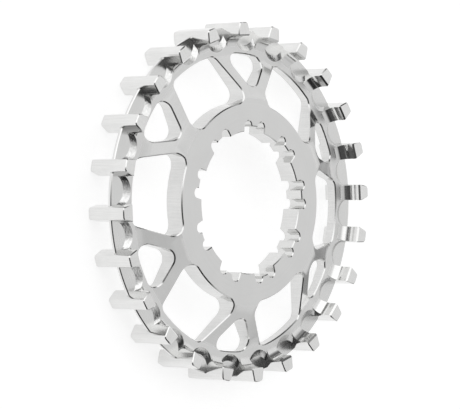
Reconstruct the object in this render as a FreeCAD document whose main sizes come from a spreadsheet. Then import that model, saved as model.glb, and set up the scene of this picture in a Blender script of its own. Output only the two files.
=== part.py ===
import FreeCAD, Part
import math
import os

import Sketcher

# Belt drive sprocket: one disc of steel, turned, milled and broached, with no second piece.
# It lies on the far ends of its teeth, which are at height 0, and its axis is +Z.
# The hub's raised face looks up. The origin is on the axis, at the height of the far tooth ends.
# One spoke, one tooth space and one spline groove are centred on +X, so each pattern starts there.

V = FreeCAD.Vector
doc = FreeCAD.newDocument("belt_sprocket")

# Driving sizes in millimetres and degrees
SIZES = (
    ("tooth_count", 24, "teeth round the rim"),
    ("tooth_length", 11.2, "length of a tooth along the axis"),
    ("tip_radius", 41.2, "axis to tooth tip"),
    ("tip_rounding", 0.75, "rounding along both edges of a tip"),
    ("tip_rounding_depth", 0.72, "centre of that rounding below the tip"),
    ("space_width", 6.35, "width of the straight inner part of a tooth space"),
    ("flare_depth", 2.65, "from the tips down to where a tooth space begins to open"),
    ("space_angle", 19.4, "lean of a tooth flank from the space's centre line"),
    ("end_depth", 3.15, "from the tips down to a tooth's underside, near its ends"),
    ("hollow_rounding", 2.75, "hollow curve from the rim's face up to that underside"),
    ("hollow_lead", 0.4, "from that curve's centre out to where it leaves the rim's face"),
    ("hollow_width", 5.0, "width of the cut that hollows a tooth's underside"),
    ("underside_chamfer", 0.35, "chamfer between that underside and the end face"),
    ("ramp_margin", 0.6, "rim's face left between the windows and the ramps' round inner edge"),
    ("ramp_run", 1.55, "how far a ramp runs outwards on its way down to the fin"),
    ("ramp_rounding", 3.6, "radius of that edge, in plan"),
    ("fin_drop", 1.15, "middle fin that keeps the belt on its line, below the tips"),
    ("fin_thickness", 1.0, "thickness of the fin"),
    ("rim_thickness", 2.68, "rim, between its two faces"),
    ("rim_depth", 7.0, "from the tips down to the windows, where the rim begins"),
    ("hub_drop", 0.1, "hub face below the near tooth ends"),
    ("hub_thickness", 5.0, "thickness of the hub"),
    ("hub_flat_margin", 1.05, "hub's flat face, beyond the hub side of the windows"),
    ("hub_back_margin", 1.7, "hub's flat back, beyond the same"),
    ("dish_edge_inset", 0.4, "from the rim's inner edge inwards to the end of the dish"),
    ("spoke_count", 6, "forked spokes"),
    ("vee_share", 0.342, "inner corner of a small window, as a share of the way from hub to rim"),
    ("vee_rounding", 2.5, "rounding of that corner"),
    ("vee_angle", 40.0, "lean of a small window's sides from the spoke's centre line"),
    ("fork_inset", 1.76, "from the large windows' hub side in to where a fork's edges would cross"),
    ("fork_angle", 41.6, "lean of the fork's outer edges from the spoke's centre line"),
    ("hub_ring_width", 6.5, "hub ring, from the bore to the hub side of a large window"),
    ("hub_rounding", 2.5, "corners of a large window at the hub"),
    ("rim_rounding", 2.0, "corners of all windows at the rim"),
    ("bore_radius", 16.3, "wide lands of the splined bore"),
    ("groove_count", 9, "grooves in the bore"),
    ("groove_width", 6.55, "width of a groove between its walls"),
    ("land_depth", 1.1, "narrow land in the middle of a groove, below the wide lands"),
    ("relief_depth", 2.35, "bottom of a groove's round corners, below the wide lands"),
    ("relief_rounding", 1.13, "radius of those corners"),
)

# Heights and radii that follow from the driving sizes
DERIVED = (
    ("flare_radius", "=tip_radius - flare_depth", "where a tooth space begins to open"),
    ("underside_radius", "=tip_radius - end_depth", "a tooth's underside, near its ends"),
    ("hollow_centre", "=underside_radius - hollow_rounding", "centre of the hollow curve"),
    ("crease_radius", "=hollow_centre + hollow_lead", "where the teeth leave the rim's faces"),
    ("fin_radius", "=tip_radius - fin_drop", "outer edge of the fin"),
    ("rim_inner_radius", "=tip_radius - rim_depth", "outer edge of the windows"),
    ("ramp_radius", "=rim_inner_radius + ramp_margin", "round inner edge of the ramps"),
    ("dish_edge_radius", "=rim_inner_radius - dish_edge_inset", "where the dish meets the rim"),
    ("hub_arc_radius", "=bore_radius + hub_ring_width", "hub side of a large window"),
    ("hub_flat_radius", "=hub_arc_radius + hub_flat_margin", "edge of the hub's flat face"),
    ("hub_back_radius", "=hub_arc_radius + hub_back_margin", "edge of the hub's flat back"),
    ("web_height", "=rim_inner_radius - hub_arc_radius", "from the hub ring out to the rim"),
    ("vee_radius", "=hub_arc_radius + vee_share * web_height", "inner corner of a small window"),
    ("fork_radius", "=hub_arc_radius - fork_inset", "where a fork's outer edges would cross"),
    ("land_radius", "=bore_radius + land_depth", "narrow land in the middle of a groove"),
    ("relief_radius", "=bore_radius + relief_depth", "bottom of a groove's round corners"),
    ("rim_top", "=(tooth_length + rim_thickness) / 2", "near face of the rim"),
    ("rim_foot", "=(tooth_length - rim_thickness) / 2", "far face of the rim"),
    ("hub_top", "=tooth_length - hub_drop", "near face of the hub"),
    ("hub_foot", "=tooth_length - hub_drop - hub_thickness", "far face of the hub"),
    ("end_inner", "=underside_radius + underside_chamfer", "inner edge of a tooth's end face"),
    ("hollow_top", "=tooth_length - underside_chamfer", "near end of a tooth's hollow underside"),
    ("tip_centre", "=tip_radius - tip_rounding_depth", "centre of a tip's edge rounding"),
    ("space_mouth", "=tip_radius + tip_rounding", "a tooth space is cut out to here"),
    ("ramp_centre", "=ramp_radius + ramp_rounding", "centre of that rounding"),
    ("ramp_mouth", "=ramp_centre + ramp_rounding / 2", "the ramps are cut out to here"),
    ("fin_top", "=(tooth_length + fin_thickness) / 2", "near face of the fin"),
    ("fin_foot", "=(tooth_length - fin_thickness) / 2", "far face of the fin"),
    ("fin_inner", "=(rim_inner_radius + ramp_radius) / 2", "the fin starts inside the rim"),
    ("ramp_depth", "=(rim_thickness - fin_thickness) / 2", "from the rim's face to the fin's"),
    ("fork_offset", "=fork_radius * sin(fork_angle * 1deg)", "fork's outer edge, from the axis"),
    ("window_lean", "=fork_angle - 180 / spoke_count", "the same edge, against a large window"),
    ("vee_centre", "=vee_radius + vee_rounding", "centre of a small window's inner corner"),
    ("relief_centre", "=relief_radius - relief_rounding", "centre of a groove's round corner"),
    ("groove_mouth", "=bore_radius - relief_rounding", "a groove is cut from inside the bore"),
)

sheet = doc.addObject("Spreadsheet::Sheet", "sizes")
for row, (name, value, note) in enumerate(SIZES + DERIVED, start=1):
    sheet.set("A" + str(row), note)
    sheet.set("B" + str(row), str(value))
    sheet.setAlias("B" + str(row), name)
doc.recompute()


def size(name):
    """A size, read from the sheet."""
    return float(sheet.get(name))


body = doc.addObject("PartDesign::Body", "belt_sprocket")
body.Label = "belt_sprocket"
body.Placement = FreeCAD.Placement()


def origin_feature(role):
    return next(o for o in body.Origin.OriginFeatures if o.Role == role)


def new_sketch(name, plane, height=None, turn=None, about=V(0, 0, 1)):
    """A sketch on one of the body's own planes, lifted and turned by expressions."""
    sketch = body.newObject("Sketcher::SketchObject", name)
    sketch.AttachmentSupport = [(origin_feature(plane), "")]
    sketch.MapMode = "FlatFace"
    if height:
        sketch.setExpression("AttachmentOffset.Base.z", height)
    if turn:
        sketch.AttachmentOffset = FreeCAD.Placement(V(), FreeCAD.Rotation(about, 1))
        sketch.setExpression("AttachmentOffset.Rotation.Angle", turn)
    return sketch


def line(a, b):
    return Part.LineSegment(V(*a), V(*b))


def arc(centre, radius, start, stop):
    """Arc about a centre, anticlockwise from angle start to angle stop in radians."""
    return Part.ArcOfCircle(Part.Circle(V(*centre), V(0, 0, 1), radius), start, stop)


def polar(centre, radius, angle):
    """The point at a distance and an angle from a centre."""
    return (centre[0] + radius * math.cos(angle), centre[1] + radius * math.sin(angle))


def mirror(point):
    """The same point on the other side of the X axis."""
    return (point[0], -point[1])


def joint(here, first, there, second, used):
    """The ends at which two pieces meet, each given by the piece's number and its end."""
    pairs = []
    for i, a in enumerate((first.StartPoint, first.EndPoint), start=1):
        for j, b in enumerate((second.StartPoint, second.EndPoint), start=1):
            if (here, i) not in used and (there, j) not in used:
                pairs.append((a.distanceToPoint(b), i, j))
    nearest = min(pairs)
    return (here, nearest[1]), (there, nearest[2])


def outline(sketch, pieces, smooth=()):
    """Draw a closed outline. A piece listed in smooth runs tangent into the next one."""
    for piece in pieces:
        sketch.addGeometry(piece, False)
    used = set()
    for here, piece in enumerate(pieces):
        there = (here + 1) % len(pieces)
        kind = "Tangent" if here in smooth else "Coincident"
        one, other = joint(here, piece, there, pieces[there], used)
        used.update((one, other))
        sketch.addConstraint(Sketcher.Constraint(kind, *one, *other))


def measure(sketch, name, kind, *args):
    """A dimension of a sketch, driven by the size of the same name in the sheet."""
    index = sketch.addConstraint(Sketcher.Constraint(kind, *args, size(name)))
    sketch.setExpression("Constraints[" + str(index) + "]", "sizes." + name)


def hold(sketch, kind, *args):
    sketch.addConstraint(Sketcher.Constraint(kind, *args))


START, END, CENTRE = 1, 2, 3
H_AXIS = -1
AXIS_POINT = (-1, 1)


# Turned blank: hub, a web that slopes down to the rim on both sides, the rim, and a plain ring
# in which the teeth are cut later
section = new_sketch("turned_section", "XZ_Plane")
corners = (
    ("bore_radius", "hub_foot"),
    ("hub_back_radius", "hub_foot"),
    ("dish_edge_radius", "rim_foot"),
    ("crease_radius", "rim_foot"),
    ("crease_radius", None),
    ("tip_radius", None),
    ("tip_radius", "tooth_length"),
    ("crease_radius", "tooth_length"),
    ("crease_radius", "rim_top"),
    ("dish_edge_radius", "rim_top"),
    ("hub_flat_radius", "hub_top"),
    ("bore_radius", "hub_top"),
)
points = [(size(across), size(up) if up else 0) for across, up in corners]
outline(section, [line(a, b) for a, b in zip(points, points[1:] + points[:1])])
for here, (across, up) in enumerate(corners):
    measure(section, across, "DistanceX", *AXIS_POINT, here, START)
    if up:
        measure(section, up, "DistanceY", *AXIS_POINT, here, START)
    else:
        hold(section, "PointOnObject", here, START, H_AXIS)

blank = body.newObject("PartDesign::Revolution", "turned_blank")
blank.Profile = section
blank.ReferenceAxis = (section, ["V_Axis"])


def cut(name, sketch, height=None):
    """Cut a sketch's outline upwards, right through or to a height above the sketch."""
    pocket = body.newObject("PartDesign::Pocket", name)
    pocket.Profile = sketch
    pocket.Reversed = True
    if height:
        pocket.setExpression("Length", "sizes." + height)
    else:
        pocket.Type = "ThroughAll"
    return pocket


def repeat(name, features, count):
    """Repeat features round the axis, as many times as the sheet says."""
    pattern = body.newObject("PartDesign::PolarPattern", name)
    pattern.Originals = features
    pattern.Axis = (origin_feature("Z_Axis"), [""])
    pattern.Angle = 360
    pattern.setExpression("Occurrences", "sizes." + count)
    body.Tip = pattern
    return pattern


# Large windows between the forked spokes
HUB_ARC, HUB_CORNER, EDGE, RIM_CORNER, RIM_ARC, LOW_RIM_CORNER, LOW_EDGE, LOW_HUB_CORNER = range(8)
large = new_sketch("large_window_outline", "XY_Plane", turn="180deg / sizes.spoke_count")
lean = math.radians(size("window_lean"))
# centres of the corner roundings, and the points where they touch the edge
corner_offset = size("fork_offset") - size("hub_rounding")
hub_distance = size("hub_arc_radius") + size("hub_rounding")
hub_turn = math.asin(corner_offset / hub_distance) - lean
hub_corner = polar((0, 0), hub_distance, hub_turn)
hub_touch = polar(hub_corner, size("hub_rounding"), math.pi / 2 - lean)
hub_start = polar((0, 0), size("hub_arc_radius"), hub_turn)
corner_offset = size("fork_offset") - size("rim_rounding")
rim_distance = size("rim_inner_radius") - size("rim_rounding")
rim_turn = math.asin(corner_offset / rim_distance) - lean
rim_corner = polar((0, 0), rim_distance, rim_turn)
rim_touch = polar(rim_corner, size("rim_rounding"), math.pi / 2 - lean)
rim_start = polar((0, 0), size("rim_inner_radius"), rim_turn)


outline(
    large,
    (
        arc((0, 0), size("hub_arc_radius"), -hub_turn, hub_turn),
        arc(hub_corner, size("hub_rounding"), math.pi / 2 - lean, math.pi + hub_turn),
        line(hub_touch, rim_touch),
        arc(rim_corner, size("rim_rounding"), rim_turn, math.pi / 2 - lean),
        arc((0, 0), size("rim_inner_radius"), -rim_turn, rim_turn),
        arc(mirror(rim_corner), size("rim_rounding"), lean - math.pi / 2, -rim_turn),
        line(mirror(rim_touch), mirror(hub_touch)),
        arc(mirror(hub_corner), size("hub_rounding"), math.pi - hub_turn, 3 * math.pi / 2 + lean),
    ),
    smooth=(HUB_ARC, HUB_CORNER, EDGE, RIM_CORNER),
)
hold(large, "Coincident", HUB_ARC, CENTRE, *AXIS_POINT)
hold(large, "Coincident", RIM_ARC, CENTRE, *AXIS_POINT)
hold(large, "Symmetric", HUB_ARC, START, HUB_ARC, END, H_AXIS)
hold(large, "Symmetric", EDGE, START, LOW_EDGE, END, H_AXIS)
hold(large, "Symmetric", EDGE, END, LOW_EDGE, START, H_AXIS)
hold(large, "Symmetric", RIM_ARC, START, RIM_ARC, END, H_AXIS)
hold(large, "Equal", HUB_CORNER, LOW_HUB_CORNER)
hold(large, "Equal", RIM_CORNER, LOW_RIM_CORNER)
measure(large, "hub_arc_radius", "Radius", HUB_ARC)
measure(large, "rim_inner_radius", "Radius", RIM_ARC)
measure(large, "hub_rounding", "Radius", HUB_CORNER)
measure(large, "rim_rounding", "Radius", RIM_CORNER)
measure(large, "fork_offset", "Distance", *AXIS_POINT, EDGE)
lean_index = large.addConstraint(Sketcher.Constraint("Angle", EDGE, -lean))
large.setExpression("Constraints[" + str(lean_index) + "]", "-sizes.window_lean * 1deg")
repeat("large_windows", [cut("first_large_window", large)], "spoke_count")

# Small windows in the forks of the spokes
VEE, SIDE, CORNER, RIM, LOW_CORNER, LOW_SIDE = range(6)
small = new_sketch("small_window_outline", "XY_Plane")
lean = math.radians(size("vee_angle"))
vee_touch = polar((size("vee_centre"), 0), size("vee_rounding"), math.pi / 2 + lean)
side_offset = vee_touch[1] * math.cos(lean) - vee_touch[0] * math.sin(lean)
corner_turn = math.asin((side_offset - size("rim_rounding")) / rim_distance) + lean
corner = polar((0, 0), rim_distance, corner_turn)
corner_touch = polar(corner, size("rim_rounding"), math.pi / 2 + lean)
outline(
    small,
    (
        arc((size("vee_centre"), 0), size("vee_rounding"), math.pi / 2 + lean, 3 * math.pi / 2 - lean),
        line(vee_touch, corner_touch),
        arc(corner, size("rim_rounding"), corner_turn, math.pi / 2 + lean),
        arc((0, 0), size("rim_inner_radius"), -corner_turn, corner_turn),
        arc(mirror(corner), size("rim_rounding"), -math.pi / 2 - lean, -corner_turn),
        line(mirror(corner_touch), mirror(vee_touch)),
    ),
    smooth=(VEE, SIDE, CORNER),
)
hold(small, "Coincident", RIM, CENTRE, *AXIS_POINT)
hold(small, "Symmetric", VEE, START, VEE, END, H_AXIS)
hold(small, "Symmetric", SIDE, END, LOW_SIDE, START, H_AXIS)
hold(small, "Symmetric", RIM, START, RIM, END, H_AXIS)
hold(small, "Equal", CORNER, LOW_CORNER)
measure(small, "vee_centre", "DistanceX", *AXIS_POINT, VEE, CENTRE)
measure(small, "vee_rounding", "Radius", VEE)
measure(small, "rim_rounding", "Radius", CORNER)
measure(small, "rim_inner_radius", "Radius", RIM)
lean_index = small.addConstraint(Sketcher.Constraint("Angle", SIDE, lean))
small.setExpression("Constraints[" + str(lean_index) + "]", "sizes.vee_angle * 1deg")
repeat("small_windows", [cut("first_small_window", small)], "spoke_count")


# Grooves of the splined bore: straight walls, a narrow land and two round corners
LAND, RELIEF, WALL, MOUTH, LOW_WALL, LOW_RELIEF = range(6)
groove = new_sketch("groove_outline", "XY_Plane")
relief_side = size("groove_width") / 2 - size("relief_rounding")
relief = (math.sqrt(size("relief_centre") ** 2 - relief_side ** 2), relief_side)
wall_end = (relief[0], size("groove_width") / 2)
mouth = (size("groove_mouth"), size("groove_width") / 2)
# where the round corner meets the narrow land, from the three distances
across = (size("land_radius") ** 2 + size("relief_centre") ** 2 - size("relief_rounding") ** 2)
spread = math.acos(across / (2 * size("land_radius") * size("relief_centre")))
land_turn = math.asin(relief_side / size("relief_centre")) - spread
land_end = polar((0, 0), size("land_radius"), land_turn)
relief_start = math.atan2(land_end[1] - relief[1], land_end[0] - relief[0])
outline(
    groove,
    (
        arc((0, 0), size("land_radius"), -land_turn, land_turn),
        arc(relief, size("relief_rounding"), relief_start, math.pi / 2),
        line(wall_end, mouth),
        line(mouth, mirror(mouth)),
        line(mirror(mouth), mirror(wall_end)),
        arc(mirror(relief), size("relief_rounding"), -math.pi / 2, -relief_start),
    ),
    smooth=(RELIEF,),
)
hold(groove, "Coincident", LAND, CENTRE, *AXIS_POINT)
hold(groove, "Symmetric", LAND, START, LAND, END, H_AXIS)
hold(groove, "Symmetric", WALL, START, LOW_WALL, END, H_AXIS)
hold(groove, "Symmetric", WALL, END, LOW_WALL, START, H_AXIS)
hold(groove, "Horizontal", WALL)
hold(groove, "Equal", RELIEF, LOW_RELIEF)
measure(groove, "land_radius", "Radius", LAND)
measure(groove, "relief_rounding", "Radius", RELIEF)
measure(groove, "relief_centre", "Distance", *AXIS_POINT, RELIEF, CENTRE)
measure(groove, "groove_width", "DistanceY", MOUTH, END, MOUTH, START)
measure(groove, "groove_mouth", "DistanceX", *AXIS_POINT, MOUTH, START)
repeat("grooves", [cut("first_groove", groove)], "groove_count")


# Tooth spaces: straight walls, then leaning flanks and a small rounding along the tips
space = new_sketch("tooth_space", "XY_Plane")
lean = math.radians(size("space_angle"))
root = (size("ramp_radius"), size("space_width") / 2)
foot = (size("flare_radius"), size("space_width") / 2)
# the flank's distance from the axis, and the centre of the rounding that touches it
flank_offset = foot[1] * math.cos(lean) - foot[0] * math.sin(lean)
tip_turn = lean + math.asin((flank_offset + size("tip_rounding")) / size("tip_centre"))
tip = polar((0, 0), size("tip_centre"), tip_turn)
shoulder = polar(tip, size("tip_rounding"), lean - math.pi / 2)
crest = (tip[0] + size("tip_rounding"), tip[1])
mouth = (size("space_mouth"), tip[1])
BOTTOM, WALL, FLANK, TIP, SIDE, MOUTH, LOW_SIDE, LOW_TIP, LOW_FLANK, LOW_WALL = range(10)
outline(
    space,
    (
        line(mirror(root), root),
        line(root, foot),
        line(foot, shoulder),
        arc(tip, size("tip_rounding"), lean - math.pi / 2, 0),
        line(crest, mouth),
        line(mouth, mirror(mouth)),
        line(mirror(mouth), mirror(crest)),
        arc(mirror(tip), size("tip_rounding"), 0, math.pi / 2 - lean),
        line(mirror(shoulder), mirror(foot)),
        line(mirror(foot), mirror(root)),
    ),
    smooth=(FLANK,),
)
hold(space, "Symmetric", BOTTOM, START, BOTTOM, END, H_AXIS)
hold(space, "Symmetric", WALL, END, LOW_WALL, START, H_AXIS)
hold(space, "Symmetric", FLANK, END, LOW_FLANK, START, H_AXIS)
hold(space, "Symmetric", TIP, END, LOW_TIP, START, H_AXIS)
hold(space, "Symmetric", SIDE, END, LOW_SIDE, START, H_AXIS)
hold(space, "Equal", TIP, LOW_TIP)
hold(space, "Horizontal", TIP, CENTRE, TIP, END)
hold(space, "Horizontal", SIDE)
hold(space, "Horizontal", WALL)
measure(space, "ramp_radius", "DistanceX", *AXIS_POINT, BOTTOM, END)
measure(space, "space_width", "DistanceY", BOTTOM, START, BOTTOM, END)
measure(space, "flare_radius", "DistanceX", *AXIS_POINT, WALL, END)
measure(space, "tip_rounding", "Radius", TIP)
measure(space, "tip_centre", "Distance", *AXIS_POINT, TIP, CENTRE)
measure(space, "space_mouth", "DistanceX", *AXIS_POINT, SIDE, END)
lean_index = space.addConstraint(Sketcher.Constraint("Angle", FLANK, lean))
space.setExpression("Constraints[" + str(lean_index) + "]", "sizes.space_angle * 1deg")
repeat("tooth_spaces", [cut("first_tooth_space", space)], "tooth_count")

# Rim and fin: the ring that carries the teeth is whole between them, and a thin fin stands on it
fin_section = new_sketch("fin_section", "XZ_Plane")
corners = (
    ("fin_inner", "rim_foot"),
    ("flare_radius", "rim_foot"),
    ("flare_radius", "fin_foot"),
    ("fin_radius", "fin_foot"),
    ("fin_radius", "fin_top"),
    ("flare_radius", "fin_top"),
    ("flare_radius", "rim_top"),
    ("fin_inner", "rim_top"),
)
points = [(size(across), size(up)) for across, up in corners]
outline(fin_section, [line(a, b) for a, b in zip(points, points[1:] + points[:1])])
for here, (across, up) in enumerate(corners):
    measure(fin_section, across, "DistanceX", *AXIS_POINT, here, START)
    measure(fin_section, up, "DistanceY", *AXIS_POINT, here, START)
fin = body.newObject("PartDesign::Revolution", "rim_and_fin")
fin.Profile = fin_section
fin.ReferenceAxis = (fin_section, ["V_Axis"])

# Ramps: between the teeth the rim's faces run down and out to the fin
shapings = []
EDGE, SIDE, MOUTH, LOW_SIDE = range(4)
half_turn = math.pi - math.asin(size("space_width") / 2 / size("ramp_rounding"))
for side, height, inwards in (("near", "rim_top", -1), ("far", "rim_foot", 1)):
    ramp = new_sketch(side + "_ramp_outline", "XY_Plane", height="sizes." + height)
    centre = (size("ramp_centre"), 0)
    corner = polar(centre, size("ramp_rounding"), half_turn)
    mouth = (size("ramp_mouth"), corner[1])
    outline(
        ramp,
        (
            arc(centre, size("ramp_rounding"), half_turn, 2 * math.pi - half_turn),
            line(mirror(corner), mirror(mouth)),
            line(mirror(mouth), mouth),
            line(mouth, corner),
        ),
    )
    hold(ramp, "Symmetric", EDGE, START, EDGE, END, H_AXIS)
    hold(ramp, "Symmetric", MOUTH, START, MOUTH, END, H_AXIS)
    hold(ramp, "Horizontal", SIDE)
    measure(ramp, "ramp_centre", "DistanceX", *AXIS_POINT, EDGE, CENTRE)
    measure(ramp, "ramp_rounding", "Radius", EDGE)
    measure(ramp, "space_width", "DistanceY", EDGE, END, EDGE, START)
    measure(ramp, "ramp_mouth", "DistanceX", *AXIS_POINT, MOUTH, START)
    pocket = cut("first_" + side + "_ramp", ramp, "ramp_depth")
    pocket.Reversed = False
    pocket.UseCustomVector = True
    pocket.Direction = V(size("ramp_run"), 0, inwards * size("ramp_depth"))
    pocket.AlongSketchNormal = True
    shapings.append(pocket)

# Hollow undersides of the teeth: a round curve up from the rim's face, then straight out to the ends
CURVE, UNDERSIDE, BEVEL, LEVEL, DROP, FACE = range(6)
turn = math.acos(size("hollow_lead") / size("hollow_rounding"))
rise = size("hollow_rounding") * math.sin(turn)
for side, rim, lip, end in (
    ("near", "rim_top", "hollow_top", "tooth_length"),
    ("far", "rim_foot", "underside_chamfer", None),
):
    half_step = "180deg / sizes.tooth_count"
    hollow = new_sketch(side + "_hollow_outline", "XZ_Plane", turn=half_step, about=V(0, 1, 0))
    level = size(end) if end else 0
    outwards = 1 if end else -1
    centre = (size("hollow_centre"), size(rim) + outwards * rise)
    sweep = (-turn, 0) if end else (0, turn)
    crease = (size("crease_radius"), size(rim))
    inner = (size("ramp_radius"), size(rim))
    outer = (size("ramp_radius"), level)
    edge = (size("end_inner"), level)
    shoulder = (size("underside_radius"), size(lip))
    start = (size("underside_radius"), centre[1])
    outline(
        hollow,
        (
            arc(centre, size("hollow_rounding"), *sweep),
            line(start, shoulder),
            line(shoulder, edge),
            line(edge, outer),
            line(outer, inner),
            line(inner, crease),
        ),
        smooth=(CURVE,),
    )
    hold(hollow, "Vertical", UNDERSIDE)
    hold(hollow, "Horizontal", LEVEL)
    hold(hollow, "Vertical", DROP)
    hold(hollow, "Horizontal", FACE)
    measure(hollow, "hollow_rounding", "Radius", CURVE)
    measure(hollow, "crease_radius", "DistanceX", *AXIS_POINT, FACE, END)
    measure(hollow, rim, "DistanceY", *AXIS_POINT, FACE, END)
    measure(hollow, "ramp_radius", "DistanceX", *AXIS_POINT, DROP, START)
    measure(hollow, "end_inner", "DistanceX", *AXIS_POINT, LEVEL, START)
    measure(hollow, "underside_radius", "DistanceX", *AXIS_POINT, BEVEL, START)
    measure(hollow, lip, "DistanceY", *AXIS_POINT, BEVEL, START)
    if end:
        measure(hollow, end, "DistanceY", *AXIS_POINT, LEVEL, START)
    else:
        hold(hollow, "PointOnObject", LEVEL, START, H_AXIS)
    pocket = cut("first_" + side + "_hollow", hollow, "hollow_width")
    pocket.SideType = "Symmetric"
    shapings.append(pocket)
repeat("tooth_shapings", shapings, "tooth_count")

doc.recompute()

for item in doc.Objects:
    shape = getattr(item, "Shape", None)
    if "Invalid" in item.State or "Error" in item.State:
        raise RuntimeError(item.Name + " did not build")
    if item.TypeId.startswith("PartDesign::") and (shape.isNull() or not shape.isValid()):
        raise RuntimeError(item.Name + " has no sound shape")

os.makedirs("parts", exist_ok=True)
body.Shape.exportStep("parts/belt_sprocket.step")
print("belt_sprocket", round(body.Shape.Volume, 1), "mm3")
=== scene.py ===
# %% [markdown]
# A belt sprocket in bright steel
#
# This lesson dresses one machined part: the toothed disc that a bicycle's drive belt
# runs on. The CAD model gives its shape to the tenth of a millimetre. What is left for
# Blender is what the eye reads as metal: the broken edges, the marks of the tools, and
# a studio for the steel to reflect. Everything is in metres and in the CAD model's own
# frame, so nothing has to be fitted.

import math

import bmesh
import bpy
from mathutils import Matrix, Vector


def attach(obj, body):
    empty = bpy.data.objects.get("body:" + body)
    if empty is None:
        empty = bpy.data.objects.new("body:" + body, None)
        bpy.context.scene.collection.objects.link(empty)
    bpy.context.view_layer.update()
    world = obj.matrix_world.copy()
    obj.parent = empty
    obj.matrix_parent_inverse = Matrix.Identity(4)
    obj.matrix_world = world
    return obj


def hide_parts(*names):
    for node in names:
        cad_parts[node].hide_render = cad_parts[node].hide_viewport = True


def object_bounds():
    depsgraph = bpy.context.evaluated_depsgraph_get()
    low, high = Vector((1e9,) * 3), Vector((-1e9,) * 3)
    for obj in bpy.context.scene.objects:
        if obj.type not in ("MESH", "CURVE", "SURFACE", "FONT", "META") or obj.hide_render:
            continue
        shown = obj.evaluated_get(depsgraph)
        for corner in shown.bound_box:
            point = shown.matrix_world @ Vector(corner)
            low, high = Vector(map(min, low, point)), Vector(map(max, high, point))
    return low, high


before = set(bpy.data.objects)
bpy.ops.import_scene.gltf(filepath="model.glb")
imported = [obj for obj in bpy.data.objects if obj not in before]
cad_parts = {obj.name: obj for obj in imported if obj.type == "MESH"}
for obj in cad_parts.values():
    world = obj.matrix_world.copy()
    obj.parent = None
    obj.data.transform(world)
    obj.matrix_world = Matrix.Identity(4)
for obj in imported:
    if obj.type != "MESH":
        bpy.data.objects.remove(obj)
cad_low, cad_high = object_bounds()
MM = 0.001


def in_mm(vector):
    return [round(v / MM, 2) for v in vector]


print("CAD box in mm:", in_mm(cad_high - cad_low))

# %% [markdown]
# The camera
#
# The photograph was taken with a long lens from well to one side of the sprocket's
# axis. Here the sprocket lies on the floor, as it would come to rest, so the same view
# looks down on it at 43 degrees, and the camera is rolled a quarter turn. A camera is
# easiest to understand as an aim point, a direction, a roll and a distance, so it is
# built from those four rather than from a matrix of numbers. The direction is given as
# on a map of the sky, by a compass angle and a height angle in degrees.

# %% Place the camera
AIM = Vector((-0.58, 1.22, 5.6)) * MM
AZIMUTH = 93.85
ELEVATION = 43.11
ROLL = math.radians(90.12)
DISTANCE = 644.9 * MM
LENS_MM = 219.89
SENSOR_MM = 36
NEAREST_SEEN = 0.05
FARTHEST_SEEN = 20
UPWARDS = Vector((0, 0, 1))


def heading(azimuth, elevation):
    """The direction that a compass angle and a height angle, in degrees, point in."""
    a, e = math.radians(azimuth), math.radians(elevation)
    return Vector((math.cos(e) * math.cos(a), math.cos(e) * math.sin(a), math.sin(e)))


def aimed_camera(name, aim, back, roll, distance):
    """A camera that stands off from its aim point in the direction called back."""
    level_right = UPWARDS.cross(back).normalized()
    level_up = back.cross(level_right)
    right = level_right * math.cos(roll) + level_up * math.sin(roll)
    up = back.cross(right)
    data = bpy.data.cameras.new(name)
    data.lens = LENS_MM
    data.sensor_width = SENSOR_MM
    data.clip_start = NEAREST_SEEN
    data.clip_end = FARTHEST_SEEN
    camera = bpy.data.objects.new(name, data)
    turned = Matrix((right, up, back)).transposed().to_4x4()
    camera.matrix_world = Matrix.Translation(aim + back * distance) @ turned
    bpy.context.collection.objects.link(camera)
    bpy.context.scene.camera = camera
    return camera


camera = aimed_camera("camera", AIM, heading(AZIMUTH, ELEVATION), ROLL, DISTANCE)
print("camera at, in mm:", in_mm(camera.matrix_world.translation))

# %% [markdown]
# Small helpers for shader nodes
#
# A shader is a graph, and most of its lines would only say "make this node, join it
# there". One helper makes a node and fills its sockets at the same time, so that each
# material below reads from the first measurement to the finished surface. The others
# are for what comes up again and again: a coordinate, a sum, and a value that is eased
# from one range into another.


# %% Node helpers
def node(tree, kind, inputs=None, **settings):
    made = tree.nodes.new(kind)
    for name, value in settings.items():
        setattr(made, name, value)
    for socket, value in (inputs or {}).items():
        if isinstance(value, bpy.types.NodeSocket):
            tree.links.new(value, made.inputs[socket])
        else:
            made.inputs[socket].default_value = value
    return made


def coordinates(tree, kind):
    return node(tree, "ShaderNodeTexCoord").outputs[kind]


def maths(tree, operation, first, second=0.0, third=0.0):
    made = node(
        tree, "ShaderNodeMath", {0: first, 1: second, 2: third}, operation=operation
    )
    return made.outputs[0]


def eased(tree, value, low, high, to_low, to_high):
    made = node(
        tree,
        "ShaderNodeMapRange",
        {
            "Value": value,
            "From Min": low,
            "From Max": high,
            "To Min": to_low,
            "To Max": to_high,
        },
        interpolation_type="SMOOTHSTEP",
    )
    return made.outputs[0]


def empty_tree(block):
    block.use_nodes = True
    block.node_tree.nodes.clear()
    return block.node_tree


# %% [markdown]
# The studio
#
# Bright steel has hardly any colour of its own: it shows the room. Every face of the
# sprocket mirrors one direction, so the photograph can be read backwards into a map of
# its studio. There is a pale ceiling with a big bright panel in it, a dark side below
# the camera, and a few small dark gaps that draw the black bands on the teeth. The room
# here is a pale sky with those things in it as soft patches. Each one is given by the
# direction it lies in, how wide it is, and how much light it adds or takes away. Their
# names say where they are in the photograph, in which the sprocket stands upright. A
# handful of patches is enough, and unlike lamps they cast no hard shadows.

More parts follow.
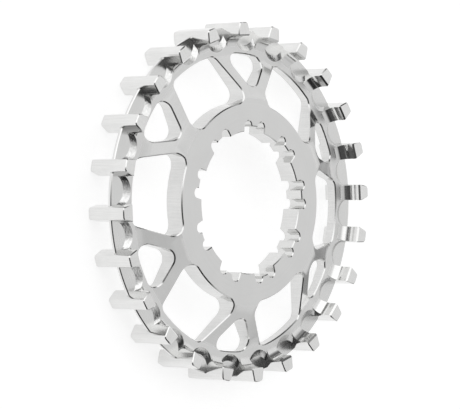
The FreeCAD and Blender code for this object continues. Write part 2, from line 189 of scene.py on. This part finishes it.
# %% Light the room
WHITE = (1, 1, 1, 1)
SKY_LEVEL = 0.72
SKY_DARKEST = 0.02
PATCHES = {
    # name: azimuth, elevation, inner angle, outer angle, added brightness
    "bright panel": (39, 36, 23, 48, 0.62),
    "near end of the panel": (17, 62, 11, 31, 0.12),
    "pale ceiling": (-27, 21, 40, 60, 0.16),
    "dark below the camera": (132, 22, 39, 57, -0.64),
    "dark below the sprocket": (183, 34, 8, 22, -0.53),
    "gap beside the camera": (76, 14, 6, 24, -0.82),
    "gap in the ceiling": (-10, 19, 6, 29, -0.80),
    "shade beside that gap": (7, 49, 10, 30, -0.21),
    "dim wall behind": (-116, -14, 21, 41, -0.41),
    "dim wall to the right": (98, 78, 10, 30, -0.10),
    "small light behind": (-90, 34, 5, 19, 0.10),
    "foot of the ceiling gap": (2, 8, 5, 18, -0.18),
}


def light_patch(tree, sight, azimuth, elevation, inner, outer, added):
    """Light that is full within the inner angle and has faded out at the outer one."""
    closeness = node(
        tree,
        "ShaderNodeVectorMath",
        {0: sight, 1: heading(azimuth, elevation)},
        operation="DOT_PRODUCT",
    ).outputs["Value"]
    faded, full = math.cos(math.radians(outer)), math.cos(math.radians(inner))
    return eased(tree, closeness, faded, full, 0.0, added)


def light_room():
    world = bpy.data.worlds.new("studio")
    bpy.context.scene.world = world
    tree = empty_tree(world)
    sight = coordinates(tree, "Generated")
    level = SKY_LEVEL
    for patch in PATCHES.values():
        level = maths(tree, "ADD", light_patch(tree, sight, *patch), level)
    level = maths(tree, "MAXIMUM", level, SKY_DARKEST)
    seen = node(tree, "ShaderNodeLightPath").outputs["Is Camera Ray"]
    lit = node(tree, "ShaderNodeBackground", {"Color": WHITE, "Strength": level})
    white = node(tree, "ShaderNodeBackground", {"Color": WHITE, "Strength": 1.0})
    either = node(
        tree, "ShaderNodeMixShader", {0: seen, 1: lit.outputs[0], 2: white.outputs[0]}
    )
    node(tree, "ShaderNodeOutputWorld", {"Surface": either.outputs[0]})
    print("sky patches:", ", ".join(PATCHES))


light_room()

# %% [markdown]
# The floor
#
# The photograph's background is pure white. Lighting a floor until it burns out would
# burn the steel out too, so the floor gets a little light of its own that only the
# camera and the steel's reflections see. In the reflections it fades a short way off,
# as a small white table would end there. The rest of the floor's brightness is plain
# diffuse light, and that part keeps the sprocket's shadow.

# %% Lay the floor
FLOOR_COLOUR = (0.42, 0.42, 0.42, 1.0)
FLOOR_GLOW = 0.76
FLOOR_RADIUS = 3.0
FLOOR_CORNERS = 96
TABLE_RADIUS = 0.09
TABLE_FADE = 0.16
BEYOND_TABLE = 0.05


def object_from(bm, name):
    """The shape in a bmesh as a new object, which uses the bmesh up."""
    mesh = bpy.data.meshes.new(name)
    bm.to_mesh(mesh)
    bm.free()
    made = bpy.data.objects.new(name, mesh)
    bpy.context.collection.objects.link(made)
    return made


def floor_paint():
    paint = bpy.data.materials.new("white_sweep")
    tree = empty_tree(paint)
    path = node(tree, "ShaderNodeLightPath").outputs
    from_axis = node(
        tree,
        "ShaderNodeVectorMath",
        {0: coordinates(tree, "Object")},
        operation="LENGTH",
    ).outputs["Value"]
    table = eased(tree, from_axis, TABLE_RADIUS, TABLE_FADE, 1.0, BEYOND_TABLE)
    mirrored = maths(tree, "MULTIPLY", path["Is Glossy Ray"], table)
    looked_at = maths(tree, "MAXIMUM", path["Is Camera Ray"], mirrored)
    looked_at = maths(tree, "MAXIMUM", looked_at, path["Is Transmission Ray"])
    strength = maths(tree, "MULTIPLY", looked_at, FLOOR_GLOW)
    glow = node(tree, "ShaderNodeEmission", {"Color": WHITE, "Strength": strength})
    matt = node(tree, "ShaderNodeBsdfDiffuse", {"Color": FLOOR_COLOUR})
    both = node(tree, "ShaderNodeAddShader", {0: matt.outputs[0], 1: glow.outputs[0]})
    node(tree, "ShaderNodeOutputMaterial", {"Surface": both.outputs[0]})
    return paint


def lay_floor():
    bm = bmesh.new()
    bmesh.ops.create_circle(
        bm, cap_ends=True, segments=FLOOR_CORNERS, radius=FLOOR_RADIUS
    )
    floor = object_from(bm, "floor")
    floor.data.materials.append(floor_paint())
    print("floor laid, radius in m:", FLOOR_RADIUS)


lay_floor()

# %% [markdown]
# The blank for the finished piece
#
# The CAD model arrives as loose triangles, which neither smooth nor bevel. A copy of it
# is merged into one skin, and triangles that lie in one plane are joined into whole
# faces again. That gives back what a machinist would call the faces of the part, with a
# real edge wherever two of them meet.

# %% Merge a copy of the CAD mesh
NODE = "belt_sprocket"
SAME_POINT = 0.001 * MM
SAME_PLANE = math.radians(0.5)


def merged_skin(node_name):
    bm = bmesh.new()
    bm.from_mesh(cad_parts[node_name].data)
    bmesh.ops.remove_doubles(bm, verts=bm.verts, dist=SAME_POINT)
    bmesh.ops.dissolve_limit(
        bm, angle_limit=SAME_PLANE, verts=bm.verts, edges=bm.edges
    )
    return bm


skin = merged_skin(NODE)
open_edges = sum(1 for e in skin.edges if len(e.link_faces) != 2)
print("faces:", len(skin.faces), "open edges:", open_edges)

# %% [markdown]
# Broken edges
#
# Nothing that is machined keeps a knife edge: the turner breaks the bore's and the
# fin's edges with a chamfer, and the windows and tooth ends are deburred. In the
# photograph these show as hair-thin lines, one dark and one bright, and they are much
# of what makes the part look like metal. Each group of edges is found by where it lies
# and by the two faces that meet there, and gets one flat cut of its own width. A face
# that points along the axis counts as flat, and one that points away from it as a wall.

# %% Find the edges
BORE_EDGES_TO = 19.5
WINDOW_EDGES_FROM, WINDOW_EDGES_TO = 20.0, 35.0
FIN_EDGES_FROM = 39.9
FIN_REACH = 0.6
LOW_END, HIGH_END = cad_low.z / MM, cad_high.z / MM
MIDDLE = (LOW_END + HIGH_END) / 2
END_SLACK = 0.02
FLAT_FROM = 0.8
WALL_TO = 0.3


def radii(edge):
    """How far the edge's two corners are from the axis, in millimetres."""
    return [math.hypot(v.co.x, v.co.y) / MM for v in edge.verts]


def heights(edge):
    """How high the edge's two corners are above the floor, in millimetres."""
    return [v.co.z / MM for v in edge.verts]


def tilt(face):
    """1 for a face that points along the axis, 0 for one that points away from it."""
    return abs(face.normal.z)


def flat_meets_wall(edge):
    wall, flat = sorted(tilt(face) for face in edge.link_faces)
    return wall < WALL_TO and flat > FLAT_FROM


def on_bore(edge):
    return max(radii(edge)) < BORE_EDGES_TO and flat_meets_wall(edge)


def on_windows(edge):
    inner, outer = sorted(radii(edge))
    within = WINDOW_EDGES_FROM < inner and outer < WINDOW_EDGES_TO
    return within and flat_meets_wall(edge)


def on_fin(edge):
    on_its_height = abs(min(heights(edge)) - MIDDLE) < FIN_REACH
    return min(radii(edge)) > FIN_EDGES_FROM and on_its_height and flat_meets_wall(edge)


def on_tooth_ends(edge):
    low, high = sorted(heights(edge))
    return high < LOW_END + END_SLACK or low > HIGH_END - END_SLACK


print("tooth length in mm:", round(HIGH_END - LOW_END, 2))

# %% Chamfer the edges
BORE_CHAMFER = 0.2
WINDOW_CHAMFER = 0.24
FIN_CHAMFER = 0.2
TOOTH_END_CHAMFER = 0.2


def chamfer(bm, name, width, wanted, least_angle=40):
    """Cut the wanted edges that stand out by more than the least angle, in degrees."""
    edges = [
        edge
        for edge in bm.edges
        if len(edge.link_faces) == 2
        and edge.calc_face_angle_signed(0) > math.radians(least_angle)
        and wanted(edge)
    ]
    bmesh.ops.bevel(
        bm,
        geom=edges,
        offset=width * MM,
        offset_type="OFFSET",
        affect="EDGES",
        segments=1,
        profile=0.5,
        material=-1,
        clamp_overlap=False,
    )
    print(name, "edges:", len(edges), "chamfer in mm:", width)


chamfer(skin, "bore", BORE_CHAMFER, on_bore)
chamfer(skin, "windows", WINDOW_CHAMFER, on_windows)
chamfer(skin, "fin", FIN_CHAMFER, on_fin)
chamfer(skin, "tooth ends", TOOTH_END_CHAMFER, on_tooth_ends, least_angle=60)

# %% [markdown]
# Which tool made which face
#
# The part carries the marks of several tools, and light runs along each of them
# differently. The hub's face, the dished web and the rim were turned, so their lines
# are circles, each with its own polish. The bore was broached and the windows were
# milled through, so their walls have lines that run along the axis. Between the teeth a
# cutter swept inwards from the tips, a ball-nosed one left the ramps slightly pitted,
# and a form tool hollowed the undersides of the teeth to a mirror. A face's place and
# the way it looks say which tool it was, so no face has to be picked by number.

# %% Sort the faces by tool
FINISHES = (
    "faced",
    "dished",
    "rimmed",
    "broached",
    "milled",
    "cut",
    "ramped",
    "hollowed",
)
BORE_TO = 19.6
WEB_TO = 34.7
RAMPS_TO = 38.6
RIM_REACH = 1.6
LEVEL_FROM = 0.97
RAMPS_FROM = 0.2
HOLLOWS_FACE_IN = -0.05
SMOOTH_TO = math.radians(24)


def tool_of(face):
    centre = face.calc_center_median()
    radius = math.hypot(centre.x, centre.y)
    outwards = (face.normal.x * centre.x + face.normal.y * centre.y) / radius
    radius /= MM
    beside_rim = abs(centre.z / MM - MIDDLE) < RIM_REACH
    level = tilt(face) > LEVEL_FROM
    if radius < BORE_TO:
        return "faced" if level else "broached"
    if radius < WEB_TO:
        if level:
            return "faced"
        return "dished" if tilt(face) > FLAT_FROM else "milled"
    if beside_rim and level:
        return "rimmed"
    if radius < RAMPS_TO and not level:
        if beside_rim and outwards > 0 and tilt(face) > RAMPS_FROM:
            return "ramped"
        if outwards < HOLLOWS_FACE_IN:
            return "hollowed"
    return "cut"


def sort_faces(bm):
    count = dict.fromkeys(FINISHES, 0)
    for face in bm.faces:
        tool = tool_of(face)
        face.material_index = FINISHES.index(tool)
        face.smooth = True
        count[tool] += 1
    for edge in bm.edges:
        paired = len(edge.link_faces) == 2
        edge.smooth = paired and edge.calc_face_angle(0) < SMOOTH_TO
    print("faces by tool:", count)


sort_faces(skin)

# %% [markdown]
# The marks of the tools
#
# A tool's marks are streaks: fine across, and long the way the tool went. Noise makes
# them when it is squeezed in one direction and drawn out in the others. What differs
# from tool to tool is only what the streaks are measured along. On turned faces they
# change with the distance from the axis, on the walls with the place in plan, and
# between the teeth with the way round the rim. The ramps have small dents with no
# direction at all. The grain is how long a streak is, in millimetres, along each of the
# three measures, and coarse or fine is how much the noise's smaller layers count.

# %% Measure places on the steel
RIM_RADIUS = 38.0


def place(tree):
    """Where a point is along x, y and z, in millimetres."""
    scaled = node(
        tree,
        "ShaderNodeVectorMath",
        {0: coordinates(tree, "Object"), "Scale": 1 / MM},
        operation="SCALE",
    )
    return node(tree, "ShaderNodeSeparateXYZ", {0: scaled.outputs[0]}).outputs


def turned_place(tree):
    """How far a point is from the axis, round the rim and up, in millimetres."""
    x, y, height = place(tree)
    squares = maths(
        tree, "ADD", maths(tree, "MULTIPLY", x, x), maths(tree, "MULTIPLY", y, y)
    )
    radius = maths(tree, "SQRT", squares)
    turn = maths(tree, "ARCTAN2", y, x)
    return radius, maths(tree, "MULTIPLY", turn, RIM_RADIUS), height


print("once round the rim in mm:", round(2 * math.pi * RIM_RADIUS))

# %% Draw the marks
MARK_DETAIL = 3.0
COARSE, FINE = 0.5, 0.6
TURNED_GRAIN = (0.08, 60.0, 60.0)
WALL_GRAIN = (0.2, 0.2, 20 / 3)
TOOTH_GRAIN = (0.16, 5.0, 5.0)
DENTS_PER_MM = 1.8


def noise(tree, vector, scale, detail, roughness):
    return node(
        tree,
        "ShaderNodeTexNoise",
        {"Vector": vector, "Scale": scale, "Detail": detail, "Roughness": roughness},
    ).outputs["Fac"]


def streaks(tree, measures, grain, roughness):
    """Noise whose grain has the given length along each of the three measures."""
    parts = {
        axis: maths(tree, "DIVIDE", measure, length)
        for axis, (measure, length) in enumerate(zip(measures, grain))
    }
    vector = node(tree, "ShaderNodeCombineXYZ", parts).outputs[0]
    return noise(tree, vector, 1.0, MARK_DETAIL, roughness)


def turned_marks(tree):
    return streaks(tree, turned_place(tree), TURNED_GRAIN, FINE)


def wall_marks(tree):
    return streaks(tree, place(tree), WALL_GRAIN, COARSE)


def tooth_marks(tree):
    radius, around, height = turned_place(tree)
    return streaks(tree, (around, radius, height), TOOTH_GRAIN, FINE)


def dents(tree):
    return noise(
        tree, coordinates(tree, "Object"), DENTS_PER_MM / MM, MARK_DETAIL, FINE
    )


grains = (TURNED_GRAIN, WALL_GRAIN, TOOTH_GRAIN)
print("turned, wall and tooth marks apart in mm:", [min(grain) for grain in grains])

# %% [markdown]
# Steel
#
# Every finish is the same bright steel, so one recipe makes them all: a full metal
# whose colour, roughness and fine relief follow the tool's marks, together with broad
# faint clouds, because no part is wiped quite evenly. The steel is a shade warmer than
# grey. What a finish adds is its marks, the least and the greatest roughness, the depth
# of the marks in millimetres, and the darkest and the palest shade.

# %% The steel recipe
CLOUDS_PER_MM = 0.15
CLOUD_DETAIL = 2.0
CLOUD_SHARE = 0.5
SHADE_SPAN = (0.35, 0.65)
GLOSS_SPAN = (0.3, 0.7)
BLUE_SHARE = 0.992
# Where Blender's Mix node keeps its factor, its two colours and the mixed colour.
MIX_FACTOR, MIX_FIRST, MIX_SECOND, MIX_RESULT = 0, 6, 7, 2


def warm_grey(shade):
    return (shade, shade, shade * BLUE_SHARE, 1)


def steel(name, marks_of, gloss, depth, shades):
    material = bpy.data.materials.new(name)
    tree = empty_tree(material)
    marks = marks_of(tree)
    clouds = noise(
        tree, coordinates(tree, "Object"), CLOUDS_PER_MM / MM, CLOUD_DETAIL, COARSE
    )
    mark_share = maths(tree, "MULTIPLY", marks, 1 - CLOUD_SHARE)
    blend = maths(tree, "MULTIPLY_ADD", clouds, CLOUD_SHARE, mark_share)
    darkest, palest = shades
    tone = node(
        tree,
        "ShaderNodeMix",
        {
            MIX_FACTOR: eased(tree, blend, *SHADE_SPAN, 0.0, 1.0),
            MIX_FIRST: warm_grey(darkest),
            MIX_SECOND: warm_grey(palest),
        },
        data_type="RGBA",
    )
    bump = node(
        tree,
        "ShaderNodeBump",
        {"Height": marks, "Strength": 1.0, "Distance": depth * MM},
    )
    surface = node(
        tree,
        "ShaderNodeBsdfPrincipled",
        {
            "Base Color": tone.outputs[MIX_RESULT],
            "Metallic": 1.0,
            "Roughness": eased(tree, blend, *GLOSS_SPAN, *gloss),
            "Normal": bump.outputs[0],
        },
    )
    node(tree, "ShaderNodeOutputMaterial", {"Surface": surface.outputs[0]})
    return material


print("clouds are about", round(1 / CLOUDS_PER_MM, 1), "mm across")

# %% Mix the eight finishes
RECIPES = {
    # finish: marks, (least, greatest) roughness, depth in mm, (darkest, palest) shade
    "faced": (turned_marks, (0.34, 0.44), 0.0006, (0.73, 0.78)),
    "dished": (turned_marks, (0.10, 0.18), 0.0006, (0.70, 0.75)),
    "rimmed": (turned_marks, (0.20, 0.28), 0.0006, (0.71, 0.76)),
    "broached": (wall_marks, (0.10, 0.22), 0.002, (0.70, 0.76)),
    "milled": (wall_marks, (0.10, 0.22), 0.002, (0.68, 0.75)),
    "cut": (tooth_marks, (0.08, 0.16), 0.0012, (0.75, 0.81)),
    "ramped": (dents, (0.09, 0.16), 0.045, (0.68, 0.80)),
    "hollowed": (tooth_marks, (0.10, 0.16), 0.0004, (0.74, 0.80)),
}
finishes = [steel(f"{tool}_steel", *RECIPES[tool]) for tool in FINISHES]
print("finishes:", [finish.name for finish in finishes])

# %% [markdown]
# The finished sprocket
#
# The skin becomes one object that stands for the CAD node, with one material slot for
# each finish. A weighted normal makes each large flat face shade as flat although its
# rounded neighbours are smooth.

# %% Make the piece
LARGE_FACES_FIRST = 80


def make_piece(name, bm):
    piece = object_from(bm, name)
    for finish in finishes:
        piece.data.materials.append(finish)
    even = piece.modifiers.new("even_shading", "WEIGHTED_NORMAL")
    even.keep_sharp = True
    even.weight = LARGE_FACES_FIRST
    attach(piece, "root")
    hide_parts(NODE)
    return piece


sprocket = make_piece("steel_sprocket", skin)
sprocket.data.calc_loop_triangles()
print(sprocket.name, "triangles:", len(sprocket.data.loop_triangles))

# %% [markdown]
# The finished picture
#
# Chamfers only take material away, so the dressed part has to stay inside the CAD box.
# The render uses Blender's Standard view transform.

# %% Use the Standard view transform
bpy.context.scene.view_settings.view_transform = "Standard"
